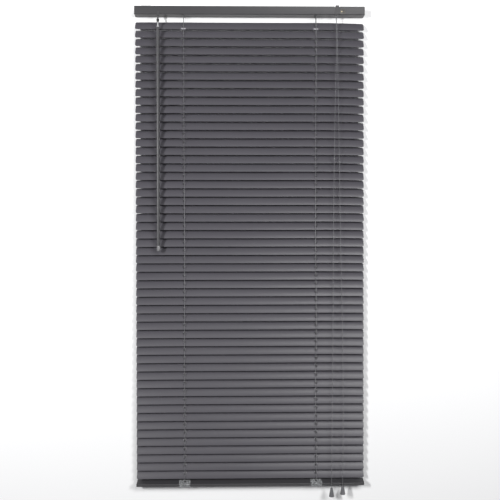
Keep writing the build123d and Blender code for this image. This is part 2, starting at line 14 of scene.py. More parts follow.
import bmesh
import bpy
import mathutils
import numpy as np
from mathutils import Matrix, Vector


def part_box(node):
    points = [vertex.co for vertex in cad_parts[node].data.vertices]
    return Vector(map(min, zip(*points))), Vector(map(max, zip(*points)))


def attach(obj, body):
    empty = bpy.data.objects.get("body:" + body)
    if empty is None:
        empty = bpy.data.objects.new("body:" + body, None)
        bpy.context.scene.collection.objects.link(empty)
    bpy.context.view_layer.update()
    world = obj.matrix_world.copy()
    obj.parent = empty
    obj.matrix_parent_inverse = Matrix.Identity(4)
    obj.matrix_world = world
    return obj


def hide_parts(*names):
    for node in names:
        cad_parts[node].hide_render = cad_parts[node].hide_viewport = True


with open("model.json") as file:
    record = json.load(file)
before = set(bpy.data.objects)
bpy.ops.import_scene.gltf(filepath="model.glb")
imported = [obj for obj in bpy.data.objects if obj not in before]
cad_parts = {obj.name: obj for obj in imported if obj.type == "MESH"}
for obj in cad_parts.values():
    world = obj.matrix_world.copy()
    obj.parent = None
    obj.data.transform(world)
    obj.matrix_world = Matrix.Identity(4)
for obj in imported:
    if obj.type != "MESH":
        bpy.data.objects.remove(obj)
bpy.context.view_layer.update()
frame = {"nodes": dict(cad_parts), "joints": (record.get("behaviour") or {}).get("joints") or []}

MM = 0.001

# %% [markdown]
# ## Where things are
#
# Places come from the frame, so that a piece can't drift away from the body it
# rides on. A joint's anchor is the line that a slat turns about, and the box of
# the wand's node says where the wand ends. Only sizes that the frame can't say,
# such as the radius of a bend, are written here.

# %% Places, in metres
anchors = {joint["name"]: np.array(joint["pos_m"]) for joint in frame["joints"]}
slat_names = sorted(name for name in frame["nodes"] if name.startswith("slat_"))
pivots = [anchors[f"{name}_tilt"] for name in slat_names]
rod_height = anchors["rod_turn"][2]
rail_height = anchors["rail_tilt"][2]
wand_place = anchors["wand_turn"]
wand_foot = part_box("tilt_wand")[0][2]
ladder_places = (-173 * MM, 173 * MM)
print("slats:", len(slat_names), "pitch mm:", round(float(pivots[0][2] - pivots[1][2]) / MM, 2))

# %% [markdown]
# ## A mesh from arrays
#
# Every new surface below is a table of points and a table of faces. One helper
# turns the two into a mesh, writes the faces' smooth flags, and stores a UV map
# when the surface has a direction of its own, as a cord has. The object stays
# at the origin: its place is in its points.

# %% Mesh helpers
pieces = []


def finish_piece(thing, body, finish, replaced=()):
    """Give an object its material, its body and the nodes it replaces."""
    thing.data.materials.clear()
    thing.data.materials.append(finish)
    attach(thing, body)
    if replaced:
        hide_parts(*replaced)
    pieces.append(thing)
    return thing


def mesh_object(name, points, faces, smooth=None, uv=None):
    """An object at the origin from points, faces, smooth flags and a UV per point."""
    mesh = bpy.data.meshes.new(name)
    mesh.from_pydata(points, [], faces)
    flags = np.ones(len(mesh.polygons), bool) if smooth is None else np.asarray(smooth, bool)
    mesh.polygons.foreach_set("use_smooth", flags)
    if uv is not None:
        corners = np.empty(len(mesh.loops), int)
        mesh.loops.foreach_get("vertex_index", corners)
        layer = mesh.uv_layers.new(name="along")
        layer.data.foreach_set("uv", np.asarray(uv, float)[corners].ravel())
    mesh.update()
    thing = bpy.data.objects.new(name, mesh)
    bpy.context.scene.collection.objects.link(thing)
    return thing


def grid_quads(rows, columns, wrap=False):
    """Quads of a grid stored row by row; with wrap, the last column joins the first."""
    index = np.arange(rows * columns).reshape(rows, columns)
    if wrap:
        index = np.concatenate([index, index[:, :1]], axis=1)
    low, high = index[:-1], index[1:]
    return np.stack([low[:, :-1], low[:, 1:], high[:, 1:], high[:, :-1]], axis=-1).reshape(-1, 4)


print("quads in a grid of 3 by 3 points:", len(grid_quads(3, 3)))

# %% [markdown]
# ## A tube and a turned form
#
# Two functions make nearly everything that isn't a slat. A tube carries a circle
# along a path and turns it as little as it can, as a cord or a rod needs. A
# turned form spins a profile round an upright axis, as a lathe does, and may
# press flutes or flats into it. A curve with a bevel or a Screw modifier could do
# the same, but here each point is known, and so is each length.

# %% A tube
def angles(sides):
    """Even steps round a full circle, in radians, starting on +X."""
    return np.linspace(0, 2 * math.pi, sides, endpoint=False)


def sideways(path):
    """Two directions across a path at each of its points, which twist the least.

    Each sideways direction is the last one with its share along the new
    tangent taken out, so it never spins about the path."""
    tangent = np.gradient(path, axis=0)
    tangent /= np.linalg.norm(tangent, axis=1, keepdims=True)
    sides = np.empty_like(path)
    side = np.eye(3)[np.argmin(np.abs(tangent[0]))]
    for step, along in enumerate(tangent):
        side = side - along * (side @ along)
        side = side / np.linalg.norm(side)
        sides[step] = side
    return sides, np.cross(tangent, sides)


def tube(name, path, radius, sides=8):
    """Closed tube: path point + radius * (cos(a) * side + sin(a) * other side).

    The radius may be one number or one for each point of the path. The UV map's
    first number goes from 1 to 0 and back to 1 round the tube, so that it has no
    seam, and its second is the way along the tube in millimetres."""
    path = np.asarray(path, float)
    radius = np.broadcast_to(np.asarray(radius, float), (len(path),))
    side, other = sideways(path)
    length = np.concatenate([[0], np.cumsum(np.linalg.norm(np.diff(path, axis=0), axis=1))])
    turn = angles(sides)[None, :]
    ring = np.cos(turn)[..., None] * side[:, None] + np.sin(turn)[..., None] * other[:, None]
    points = (path[:, None] + radius[:, None, None] * ring).reshape(-1, 3)
    quads = grid_quads(len(path), sides, wrap=True)
    last = len(points) - sides
    faces = quads.tolist() + [list(range(sides))[::-1], list(range(last, last + sides))]
    smooth = [True] * len(quads) + [False, False]
    around = np.abs(np.linspace(-1, 1, sides, endpoint=False))
    uv = np.stack(np.broadcast_arrays(around[None, :], length[:, None] / MM), axis=-1).reshape(-1, 2)
    return mesh_object(name, points, faces, smooth, uv)


print("steps round a tube of 8 sides:", np.degrees(angles(8)).round())

# %% A turned form
ring_crease = math.radians(38)  # it shades sharp where it bends more than this
pole_merging = 1e-7  # the points of a pole, on the axis, lie closer than this


def turned(name, profile, centre, sides=32, shape=1.0, keep=1.0, closed=False):
    """Spun form: (r s cos a, r s sin a k, z) for each (r, z) of the profile.

    The shape s, a table of profile points by angles, presses flutes or flats
    into the circle, and k keeps part of its Y, one number per profile point.
    An open profile starts and ends on the axis; a closed one is a loop."""
    profile = np.asarray(profile, float)
    radius = profile[:, :1] * shape * np.ones(sides)
    kept = np.broadcast_to(np.asarray(keep, float), (len(profile),))[:, None]
    angle = angles(sides)
    height = np.broadcast_to(profile[:, 1:2], radius.shape)
    points = np.stack([radius * np.cos(angle), radius * np.sin(angle) * kept, height], -1)
    points = points.reshape(-1, 3) + np.asarray(centre, float)
    return closed_rings(name, points, len(profile), sides, closed)


def closed_rings(name, points, rings, sides, closed=False):
    """Skin a stack of rings and turn its faces outwards, poles merged.

    closed joins the last ring to the first, for a profile that is a loop."""
    quads = grid_quads(rings, sides, wrap=True)
    if closed:
        first = np.arange(sides)
        last = first + (rings - 1) * sides
        seam = np.stack([last, np.roll(last, -1), np.roll(first, -1), first], -1)
        quads = np.concatenate([quads, seam])
    thing = mesh_object(name, points, quads.tolist())
    shape = bmesh.new()
    shape.from_mesh(thing.data)
    bmesh.ops.remove_doubles(shape, verts=shape.verts, dist=pole_merging)
    bmesh.ops.holes_fill(shape, edges=shape.edges, sides=sides)
    bmesh.ops.recalc_face_normals(shape, faces=shape.faces)
    shape.to_mesh(thing.data)
    shape.free()
    thing.data.set_sharp_from_angle(angle=ring_crease)
    return thing


def eased(knots, steps):
    """More points on a profile: each stretch in equal steps, then two rounds of softening.

    Softening moves a point half way to the middle of its neighbours."""
    knots = np.asarray(knots, float)
    place = np.linspace(0, len(knots) - 1, steps)
    line = np.stack([np.interp(place, np.arange(len(knots)), column) for column in knots.T], -1)
    for _ in range(2):
        line[1:-1] = line[1:-1] / 2 + (line[:-2] + line[2:]) / 4
    return line


print("a corner, eased:", eased([(0, 0), (1, 0), (1, 1)], 5)[2])

# %% [markdown]
# ## Shader maths that reads like maths
#
# A finish is built from nodes, but `lines * 0.25 + clouds * 0.6` is easier to
# read than three Math nodes. A small class wraps a socket and adds a Math node
# for each operator. Every other node comes from one method of the finish.

# %% A value on a surface
class Value:
    """A number that changes over a surface: a socket with arithmetic."""

    def __init__(self, tree, socket):
        self.tree = tree
        self.socket = socket

    def math(self, operation, *others, flip=False):
        """A Math node on this value and others, which may be sockets or numbers."""
        node = self.tree.nodes.new("ShaderNodeMath")
        node.operation = operation
        operands = [self, *others]
        if flip:
            operands.reverse()
        for place, operand in zip(node.inputs, operands):
            if isinstance(operand, Value):
                self.tree.links.new(operand.socket, place)
            else:
                place.default_value = operand
        return Value(self.tree, node.outputs[0])

    def __add__(self, other):
        return self.math("ADD", other)

    def __sub__(self, other):
        return self.math("SUBTRACT", other)

    def __rsub__(self, other):
        return self.math("SUBTRACT", other, flip=True)

    def __mul__(self, other):
        return self.math("MULTIPLY", other)

    __radd__ = __add__
    __rmul__ = __mul__

    def clamped(self):
        """The value, held between 0 and 1."""
        return self.math("MINIMUM", 1.0).math("MAXIMUM", 0.0)


print("operators of a value: + - *, and MINIMUM, MAXIMUM or SINE through math()")


# %% A finish
class Finish:
    """One material: a Principled shader, and the nodes that feed it."""

    def __init__(self, name, roughness=0.5, **settings):
        self.material = bpy.data.materials.new(name)
        self.material.use_nodes = True
        self.tree = self.material.node_tree
        self.tree.nodes.clear()
        self.shader = self.add("ShaderNodeBsdfPrincipled", Roughness=roughness, **settings)
        output = self.tree.nodes.new("ShaderNodeOutputMaterial")
        self.tree.links.new(self.shader.outputs[0], output.inputs[0])
        self.place = self.add("ShaderNodeTexCoord").outputs["Object"]

    def add(self, kind, settings=None, **inputs):
        """A node of any kind: its settings first, then values or links by socket name."""
        node = self.tree.nodes.new(kind)
        for name, setting in (settings or {}).items():
            setattr(node, name, setting)
        for name, value in inputs.items():
            socket = node.inputs[name.replace("_", " ")]
            if isinstance(value, Value):
                value = value.socket
            if isinstance(value, bpy.types.NodeSocket):
                self.tree.links.new(value, socket)
            else:
                socket.default_value = value
        return node

    def noise(self, size, stretch=(1, 1, 1), detail=2.0):
        """Noise whose lumps are about size metres, drawn out by stretch."""
        scaled = self.add("ShaderNodeMapping", Vector=self.place, Scale=[1 / s for s in stretch])
        node = self.add("ShaderNodeTexNoise", Vector=scaled.outputs[0], Scale=1 / size, Detail=detail)
        return Value(self.tree, node.outputs[0])

    def along(self):
        """The piece's own UV map as two numbers: round it, and along it in mm."""
        place = self.add("ShaderNodeUVMap", {"uv_map": "along"}).outputs[0]
        split = self.add("ShaderNodeSeparateXYZ", Vector=place)
        return Value(self.tree, split.outputs[0]), Value(self.tree, split.outputs[1])

    def between(self, factor, first, second):
        """A colour that goes from first to second as factor goes from 0 to 1."""
        mix = self.add("ShaderNodeMix", {"data_type": "RGBA"}, Factor=factor)
        for socket, colour in zip([s for s in mix.inputs if s.type == "RGBA"], (first, second)):
            socket.default_value = (*colour, 1)
        return [s for s in mix.outputs if s.type == "RGBA"][0]

    def bump(self, height, depth):
        """Small relief, depth metres from its lowest to its highest."""
        relief = self.add("ShaderNodeBump", Height=height, Distance=depth, Strength=1.0)
        self.feed(Normal=relief.outputs[0])

    def feed(self, **inputs):
        """Link values or colours to the shader's own sockets."""
        for name, value in inputs.items():
            socket = self.shader.inputs[name.replace("_", " ")]
            self.tree.links.new(value.socket if isinstance(value, Value) else value, socket)


def shaded(colour, share):
    """The same colour, lighter or darker: each of its numbers times the share."""
    return [share * c for c in colour]


print("shader helpers: Value, Finish, shaded")

# %% [markdown]
# ## The painted finish
#
# The slats have a satin skin with very fine lines along their length from the
# rolls, and a breath of dust. The headrail and the bottom rail carry the same
# finish on thicker steel. One plain colour would look flat, so three noises of
# very different size are mixed: lines, clouds and specks.

# %% Painted finishes
relief_depth = 0.03 * MM


def painted(name, colour, line_length, roughness):
    """Satin enamel with roll lines along X, faint clouds and fine orange peel."""
    paint = Finish(name, roughness, Specular_IOR_Level=0.42)
    lines = paint.noise(1.1 * MM, stretch=(line_length, 1, 1), detail=3)
    clouds = paint.noise(90 * MM, stretch=(2.5, 1, 1), detail=3)
    dust = paint.noise(2.2 * MM, detail=5)
    peel = paint.noise(0.9 * MM, detail=1)
    tone = (lines * 0.25 + clouds * 0.6 + dust * 0.15).clamped()
    paint.feed(Base_Color=paint.between(tone, shaded(colour, 0.90), shaded(colour, 1.10)))
    paint.feed(Roughness=roughness - 0.06 + clouds * 0.08 + dust * 0.05)
    paint.bump(lines * 0.5 + peel * 0.5, relief_depth)
    return paint.material


slat_paint = painted("slat_paint", (0.066, 0.063, 0.073), 180, 0.34)
rail_paint = painted("rail_paint", (0.036, 0.035, 0.038), 90, 0.38)
print("painted:", slat_paint.name, rail_paint.name)

# %% [markdown]
# ## Moulded plastic and metal
#
# Caps, cases, drums, wand and tassels are moulded. Such a piece has the dull
# grain of a spark-eroded mould, and its tone drifts slowly along the flow of the
# plastic. Clips, rod and lock plate are plated steel, and the lock's roller is
# brass: brushed one way or cloudy, and duller in patches. Two functions are
# enough, with a colour for each piece.

# %% Moulded and metal finishes
def moulded(name, colour, roughness=0.5, grain=0.5 * MM, depth=relief_depth, **settings):
    """Injection-moulded plastic: mould grain and a slow change of tone."""
    plastic = Finish(name, roughness, **settings)
    fine = plastic.noise(grain, detail=2)
    flow = plastic.noise(12 * MM, stretch=(1, 1, 3), detail=3)
    tone = (fine * 0.3 + flow * 0.7).clamped()
    plastic.feed(Base_Color=plastic.between(tone, shaded(colour, 0.84), shaded(colour, 1.14)))
    plastic.feed(Roughness=roughness - 0.05 + fine * 0.1)
    plastic.bump(fine, depth)
    return plastic.material


def metal(name, colour, roughness, brushed=(1, 1, 1)):
    """Plated or bare metal: brushed or cloudy, a little duller in patches."""
    plate = Finish(name, roughness, Metallic=1.0)
    hair = plate.noise(0.7 * MM, stretch=brushed, detail=3)
    patches = plate.noise(6 * MM, detail=4)
    plate.feed(Base_Color=plate.between(patches, shaded(colour, 0.75), colour))
    plate.feed(Roughness=roughness - 0.08 + hair * 0.1 + patches * 0.1)
    plate.bump(hair, 0.02 * MM)
    return plate.material


cap_plastic = moulded("cap_plastic", (0.042, 0.041, 0.045), 0.55, Specular_IOR_Level=0.25)
lock_plastic = moulded("lock_plastic", (0.026, 0.025, 0.027), 0.45)
black_plastic = moulded("black_plastic", (0.008, 0.008, 0.009), 0.5, Specular_IOR_Level=0.2)
wand_plastic = moulded(
    "wand_plastic", (0.057, 0.0565, 0.06), 0.3, grain=1.6 * MM, depth=0.02 * MM, Coat_Weight=0.12
)
tip_plastic = moulded("tip_plastic", (0.15, 0.148, 0.154), 0.3, Coat_Weight=0.15)
tassel_plastic = moulded("tassel_plastic", (0.105, 0.105, 0.112), 0.4, Coat_Weight=0.1)
ivory_nylon = moulded("ivory_nylon", (0.60, 0.58, 0.52), 0.5)
gear_case_plastic = moulded("gear_case_plastic", (0.06, 0.06, 0.063), 0.45)
stem_grey = moulded("stem_grey", (0.10, 0.10, 0.105), 0.4)
zinc_steel = metal("zinc_steel", (0.62, 0.63, 0.65), 0.36)
rod_steel = metal("rod_steel", (0.56, 0.56, 0.57), 0.33, brushed=(60, 1, 1))
lock_steel = metal("lock_steel", (0.085, 0.082, 0.078), 0.40, brushed=(12, 1, 1))
lock_brass = metal("lock_brass", (0.36, 0.30, 0.19), 0.30)
print("finishes so far:", len(bpy.data.materials))

# %% [markdown]
# ## Clear plastic
#
# The hook and the small clips are clear mouldings. Real refraction would need
# many bounces in pieces of a few millimetres, and a plain alpha would look like
# fog. So a noise drives the alpha: milky flow marks among nearly clear plastic.
# On the ladder clips its contrast is raised, and the speckles it makes are
# painted glints.

# %% Clear finishes
def clear(name, alpha, colour, spread=0.15, contrast=1.0):
    """Clear moulding: mostly see-through, milky where it flowed, glossy.

    Alpha goes from alpha - spread to alpha + spread with the milkiness. A high
    contrast turns it into speckles, which are painted glints."""
    plastic = Finish(name, 0.15, Coat_Weight=0.15, IOR=1.49)
    # milky flow marks from a noise; with a high contrast its speckles are painted glints
    milk_and_glints = ((plastic.noise(3.5 * MM, detail=4) - 0.5) * contrast + 0.5).clamped()
    plastic.feed(Base_Color=plastic.between(milk_and_glints, shaded(colour, 0.85), colour))
    plastic.feed(Alpha=(alpha - spread + milk_and_glints * 2 * spread).clamped())
    plastic.bump(plastic.noise(2 * MM, detail=1), 0.08 * MM)
    return plastic.material


hook_clear = clear("hook_clear", 0.62, (0.50, 0.50, 0.51))
top_clip_clear = clear("top_clip_clear", 0.62, (0.48, 0.47, 0.50))
# painted glints: five times the contrast turns the milky noise into bright speckles
ladder_clip_clear = clear("ladder_clip_clear", 0.27, (0.44, 0.45, 0.46), spread=0.25, contrast=5.0)
print("clear:", hook_clear.name, top_clip_clear.name, ladder_clip_clear.name)

# %% [markdown]
# ## Braid
#
# Cords and ladder strings are braided from two sets of strands that cross. The
# pattern, a relief with painted shade between the strands, has to follow the cord
# round its bends, so it is drawn on the tube's own UV map, whose second number is
# the way along the cord in millimetres.

# %% Braided cords
def braided(name, colour, strand):
    """Braid: two sets of slanting strands that cross, each strand millimetres long.

    Height is the larger of two waves, one leaning each way round the cord. The
    colour follows it: painted shade where the braid lies low, lighter on the crests."""
    braid = Finish(name, 0.75, Sheen_Weight=0.25)
    around, along = braid.along()
    right = (along * (2 * math.pi / strand) + around * (2 * math.pi)).math("SINE")
    left = (along * (2 * math.pi / strand) - around * (2 * math.pi)).math("SINE")
    height = right.math("MAXIMUM", left) * 0.5 + 0.5
    fuzz = braid.noise(0.6 * MM, detail=3)
    # painted shade and light: darker between the strands, lighter on their crests; the fuzz is random
    # tone
    tone = (height * 0.6 + fuzz * 0.4).clamped()
    braid.feed(Base_Color=braid.between(tone, shaded(colour, 0.6), shaded(colour, 1.18)))
    braid.feed(Roughness=0.9 - height * 0.2)
    braid.bump(height, 0.1 * MM)
    return braid.material


pull_braid = braided("pull_braid", (0.105, 0.105, 0.112), 1.6)
string_braid = braided("string_braid", (0.165, 0.165, 0.174), 1.1)
print("finishes:", len(bpy.data.materials))

# %% [markdown]
# ## The slats
#
# A slat is thin sheet, crowned by the rolls so that it doesn't bend under its
# own weight, with its corners rounded and one hole by each ladder for the lift
# cord. It could be cut with booleans, but a grid that is squeezed round each
# hole gives clean quads and smooth shading. The flat grid is worked out once.
# Each slat then bends it over its own crown and turns it on its own line.

# %% Grid of a flat slat
slat_length = 598 * MM
slat_width = 25 * MM
slat_sheet = 0.5 * MM
slat_crown = 1.5 * MM
slat_pivot = 0.8 * MM  # from the edges up to the line that the slat turns about
slat_corner = 4.4 * MM
hole_half = np.array([2.0, 3.5]) * MM
patch_half = np.array([6.0, 8.0]) * MM
patch_rings = 4
hole_ring = 2
ring_slack = 0.01
hole_power = 2.6  # 2 would be an ellipse, and more is squarer
from_end = np.array([0, 0.35, 1.0, 2.0, 3.2, 4.6, 9.0]) * MM
from_edge = np.array([0, 0.25, 0.9, 2.2]) * MM


def slat_lines():
    """Grid lines of the flat slat: along X, and across Y.

    They stand close at the ends, at the edges and round the holes, and are
    spread evenly between."""
    step = np.arange(-patch_rings, patch_rings + 1) / patch_rings
    patches = [place + step * patch_half[0] for place in ladder_places]
    end = slat_length / 2 - from_end
    inner = np.linspace(patches[0][-1], patches[1][0], 20)[1:-1]
    outer = np.linspace(patches[1][-1], end[-1], 8)[1:-1]
    along = np.concatenate([-end, -outer, *patches, inner, outer, end])
    edge = slat_width / 2 - from_edge
    across = np.concatenate([-edge, step * patch_half[1], edge])
    return np.sort(along), np.sort(across)


print("grid of a flat slat:", [len(lines) for lines in slat_lines()])


# %% Holes and corners
def squeezed_round_holes(x, y):
    """Move the square rings round each hole onto rings of a rounded hole.

    A ring's point lies in direction (u, v) on a unit square. Its place goes
    from the hole, half * (u, v) / (|u|^p + |v|^p)^(1/p), to the patch's edge."""
    for place in ladder_places:
        ring_x = (x - place) / patch_half[0] * patch_rings
        ring_y = y / patch_half[1] * patch_rings
        ring = np.maximum(np.abs(ring_x), np.abs(ring_y))
        inside = (ring < patch_rings + ring_slack) & (ring > hole_ring - ring_slack)
        u = np.divide(ring_x, ring, out=np.zeros_like(x), where=inside)
        v = np.divide(ring_y, ring, out=np.zeros_like(x), where=inside)
        powers = np.abs(u) ** hole_power + np.abs(v) ** hole_power
        reach = np.where(inside, powers, 1) ** (1 / hole_power)
        share = (ring - hole_ring) / (patch_rings - hole_ring)
        hole_x, hole_y = hole_half[0] * u / reach, hole_half[1] * v / reach
        x = np.where(inside, place + (1 - share) * hole_x + share * patch_half[0] * u, x)
        y = np.where(inside, (1 - share) * hole_y + share * patch_half[1] * v, y)
    return x, y


def rounded_corners(x, y):
    """Pull the end columns in to a quarter circle near each long edge."""
    inner = slat_length / 2 - slat_corner
    beyond = np.clip(np.abs(y) - (slat_width / 2 - slat_corner), 0, slat_corner)
    reach = np.sqrt(slat_corner**2 - beyond**2)
    past = np.clip(np.abs(x) - inner, 0, None)
    return np.where(past > 0, np.sign(x) * (inner + past / slat_corner * reach), x)


def flat_slat():
    """Places x and y of the flat slat, and its quads with the holes left out."""
    along, across = slat_lines()
    x, y = (table.ravel() for table in np.meshgrid(along, across, indexing="ij"))
    quads = grid_quads(len(along), len(across))[:, ::-1]
    middle_x, middle_y = x[quads].mean(axis=1), y[quads].mean(axis=1)
    keep = np.ones(len(quads), bool)
    for place in ladder_places:
        ring_x = np.abs(middle_x - place) / patch_half[0] * patch_rings
        ring_y = np.abs(middle_y) / patch_half[1] * patch_rings
        keep &= np.maximum(ring_x, ring_y) > hole_ring
    x, y = squeezed_round_holes(x, y)
    return rounded_corners(x, y), y, quads[keep]


flat_x, flat_y, flat_quads = flat_slat()
print("one flat slat:", len(flat_quads), "quads")


# %% From a surface to a sheet
def slab(name, middle, normal, thickness, quads):
    """Closed sheet: the middle surface moved half a thickness both ways.

    Edges that only one quad uses get a rim face, flat-shaded so that the wide
    faces keep their own smooth normals up to the edge."""
    count = len(middle)
    points = np.concatenate([middle + normal * thickness / 2, middle - normal * thickness / 2])
    starts, ends = quads.ravel(), np.roll(quads, -1, axis=1).ravel()
    rim = ~np.isin(starts * count + ends, ends * count + starts)
    a, b = starts[rim], ends[rim]
    rim_quads = np.stack([b, a, a + count, b + count], axis=-1)
    used = np.unique(np.concatenate([quads, quads + count]))
    renumber = np.zeros(2 * count, int)
    renumber[used] = np.arange(len(used))
    faces = renumber[np.concatenate([quads, quads[:, ::-1] + count, rim_quads])]
    smooth = np.arange(len(faces)) < 2 * len(quads)
    return mesh_object(name, points[used], faces.tolist(), smooth)


print("wide faces of one slat:", 2 * len(flat_quads))

# %% [markdown]
# ## Hanging the slats
#
# No two slats hang alike. Each leans up to a degree past the closed place and is
# wrung a little along its length, sits a tenth or two of a millimetre up or down
# on its rungs, and sags where it runs out past the ladders. At the lock's side
# the top slats sag most. The numbers come from a seeded generator, so that every
# run gives the same blind.

# %% How a slat hangs
closed_tilt = math.radians(60)
most_lean = 1.1  # degrees past the closed place
most_wring = 0.25  # degrees, either way, between the quarters of its length
most_seat = 0.18  # mm up or down on the rungs
left_sag, right_sag = 0.5, 0.4  # mm, the most that chance adds at each end
top_right_sag = 2.3  # mm at the first slat's right end, less for each slat below
belly_sag = 0.2 * MM
crown_radius = ((slat_width / 2) ** 2 + slat_crown**2) / (2 * slat_crown)
random = np.random.default_rng(25)


def crowned(x, y):
    """Points and normals of the crowned slat: a circle's arc over Y, lying on its edges."""
    up = np.sqrt(crown_radius**2 - y**2)
    height = slat_crown - crown_radius - slat_pivot + slat_sheet / 2 + up
    normal = np.stack([np.zeros_like(y), y / crown_radius, up / crown_radius], -1)
    return np.stack([x, y, height], -1), normal


def turned_about_x(vectors, angle):
    """(x, y cos a - z sin a, y sin a + z cos a), with one angle for each vector."""
    cosine, sine = np.cos(angle), np.sin(angle)
    x, y, z = np.moveaxis(vectors, -1, 0)
    return np.stack([x, y * cosine - z * sine, y * sine + z * cosine], -1)


def hang(points, pivot, lean, drop):
    """Turn points of a flat slat to the closed place on its line, then let it hang."""
    placed = turned_about_x(points, closed_tilt + lean) + pivot
    placed[:, 2] += drop
    return placed


def sag(x, left, right, belly):
    """How far a slat hangs down: a little between the ladders, more past them.

    Past a ladder the drop grows with the square of the distance from it."""
    ladder = ladder_places[1]
    past = np.clip((np.abs(x) - ladder) / (slat_length / 2 - ladder), 0, None)
    middle = np.clip(1 - (x / ladder) ** 2, 0, None)
    return -np.where(x < 0, left, right) * past**2 - belly * middle


print("crown's radius mm:", round(crown_radius / MM, 2))


# %% All slats
def make_slat(number, name, pivot):
    """One slat and its two rungs, which all ride on the slat's own body.

    It leans by lean + wring * (1 + sin(a full turn over the length)) / 2."""
    share = number / (len(slat_names) - 1)
    lean = math.radians(random.uniform(0.0, most_lean))
    wring = math.radians(random.uniform(-most_wring, most_wring))
    left = random.uniform(0.0, left_sag) * MM
    right = (top_right_sag * (1 - share) ** 2 + random.uniform(0.0, right_sag)) * MM
    seat = random.uniform(-most_seat, most_seat) * MM
    points, normal = crowned(flat_x, flat_y)
    leans = lean + wring * (1 + np.sin(flat_x / slat_length * 2 * math.pi)) / 2
    middle = hang(points, pivot, leans, seat + sag(flat_x, left, right, belly_sag))
    outward = turned_about_x(normal, closed_tilt + leans)
    blade = slab(f"{name}_blade", middle, outward, slat_sheet, flat_quads)
    finish_piece(blade, f"{name}_body", slat_paint, [name])
    for side, ladder in zip(("left", "right"), ladder_places):
        make_rung(f"{name}_rung_{side}", name, pivot, ladder, lean)


rung_side = 1.2 * MM  # from the lift cord to the rung beside it
rung_half = 11.45 * MM
rung_radius = 0.33 * MM
rung_depth = 1.2 * MM  # from the slat's line down to the rung's middle


def make_rung(name, slat, pivot, ladder, lean):
    """The ladder's cross thread: straight, with a knotted blob at each end.

    Its radius grows by half, with the 12th power of the way to the end."""
    y = np.linspace(-rung_half, rung_half, 11)
    thickness = rung_radius * (1 + 0.5 * np.abs(y / rung_half) ** 12)
    path = np.stack([np.full_like(y, ladder + rung_side), y, np.full_like(y, -rung_depth)], -1)
    rung = tube(name, hang(path, pivot, lean, 0.0), thickness, 6)
    finish_piece(rung, f"{slat}_body", string_braid)


for number, (name, pivot) in enumerate(zip(slat_names, pivots)):
    make_slat(number, name, pivot)
print("slats hung:", len(slat_names), "pieces so far:", len(pieces))

# %% [markdown]
# ## Pieces that keep the frame's shape
#
# Clips, cradles, drums, gear case and cord lock already have their true shapes
# in the frame, where one node holds several of them as loose triangles. A
# solid is closed, so each of its edges is used by two triangles. Walking down
# the list and pairing the uses of each edge, a solid ends wherever no pair is
# still open. Each solid then becomes an object with a name and a finish.

# %% Split a node into its solids
merging = 1e-6  # points closer than this are one point
solid_crease = math.radians(35)  # shaded sharp from this angle on
bevelled_from = math.radians(40)


def solids_of(node):
    """The node's solids as (points, triangles), in the order of the frame's mesh.

    Uses of one edge are paired first with second, third with fourth, so that
    solids that only touch stay apart."""
    mesh = frame["nodes"][node].data
    mesh.calc_loop_triangles()
    points = np.empty(3 * len(mesh.vertices))
    mesh.vertices.foreach_get("co", points)
    corners = np.empty(3 * len(mesh.loop_triangles), int)
    mesh.loop_triangles.foreach_get("vertices", corners)
    steps = np.round(points.reshape(-1, 3) / merging)
    places, merged = np.unique(steps, axis=0, return_inverse=True)
    triangles = merged.ravel()[corners].reshape(-1, 3)
    edges = np.stack([triangles, np.roll(triangles, -1, axis=1)], -1).reshape(-1, 2)
    edges = np.sort(edges, axis=1)
    real = edges[:, 0] != edges[:, 1]
    key = (edges[:, 0] * len(places) + edges[:, 1])[real]
    owner = np.repeat(np.arange(len(triangles)), 3)[real]
    order = np.lexsort((owner, key))
    opens, closes = owner[order][0::2], owner[order][1::2]
    still_open = np.zeros(len(triangles) + 1, int)
    np.add.at(still_open, opens, 1)
    np.add.at(still_open, closes, -1)
    ends = np.flatnonzero(np.cumsum(still_open)[:-1] == 0) + 1
    result = []
    for part in np.split(triangles, ends):
        if len(part):
            used, compact = np.unique(part, return_inverse=True)
            result.append((places[used] * merging, compact.reshape(-1, 3)))
    return result


def middle_of(solid):
    """Middle of the box round a solid's points."""
    return (solid[0].min(axis=0) + solid[0].max(axis=0)) / 2


def keep_shape(name, solid, bevel=0.0):
    """One solid as an object: flat stretches joined, its edges eased by a bevel."""
    thing = mesh_object(name, solid[0], solid[1].tolist())
    shape = bmesh.new()
    shape.from_mesh(thing.data)
    flat = math.radians(0.5)
    bmesh.ops.dissolve_limit(shape, angle_limit=flat, verts=shape.verts, edges=shape.edges)
    shape.to_mesh(thing.data)
    shape.free()
    thing.data.set_sharp_from_angle(angle=solid_crease)
    if bevel:
        ease = thing.modifiers.new("eased_edges", "BEVEL")
        ease.width = bevel
        ease.segments = 2
        ease.limit_method = "ANGLE"
        ease.angle_limit = bevelled_from
    return thing


# %% Headrail, rod and bottom rail
def place_solids(node, body, table):
    """Give each name in the table the solid whose middle is nearest to the table's.

    The table holds, for each name: middle in mm, finish, slot (not used), bevel in mm."""
    solids = solids_of(node)
    middles = np.array([middle_of(solid) for solid in solids])
    for name, (middle, finish, slot, bevel) in table.items():
        nearest = np.argmin(np.linalg.norm(middles - np.array(middle) * MM, axis=1))
        thing = keep_shape(name, solids[nearest], bevel * MM)
        finish_piece(thing, body, finish, [node])


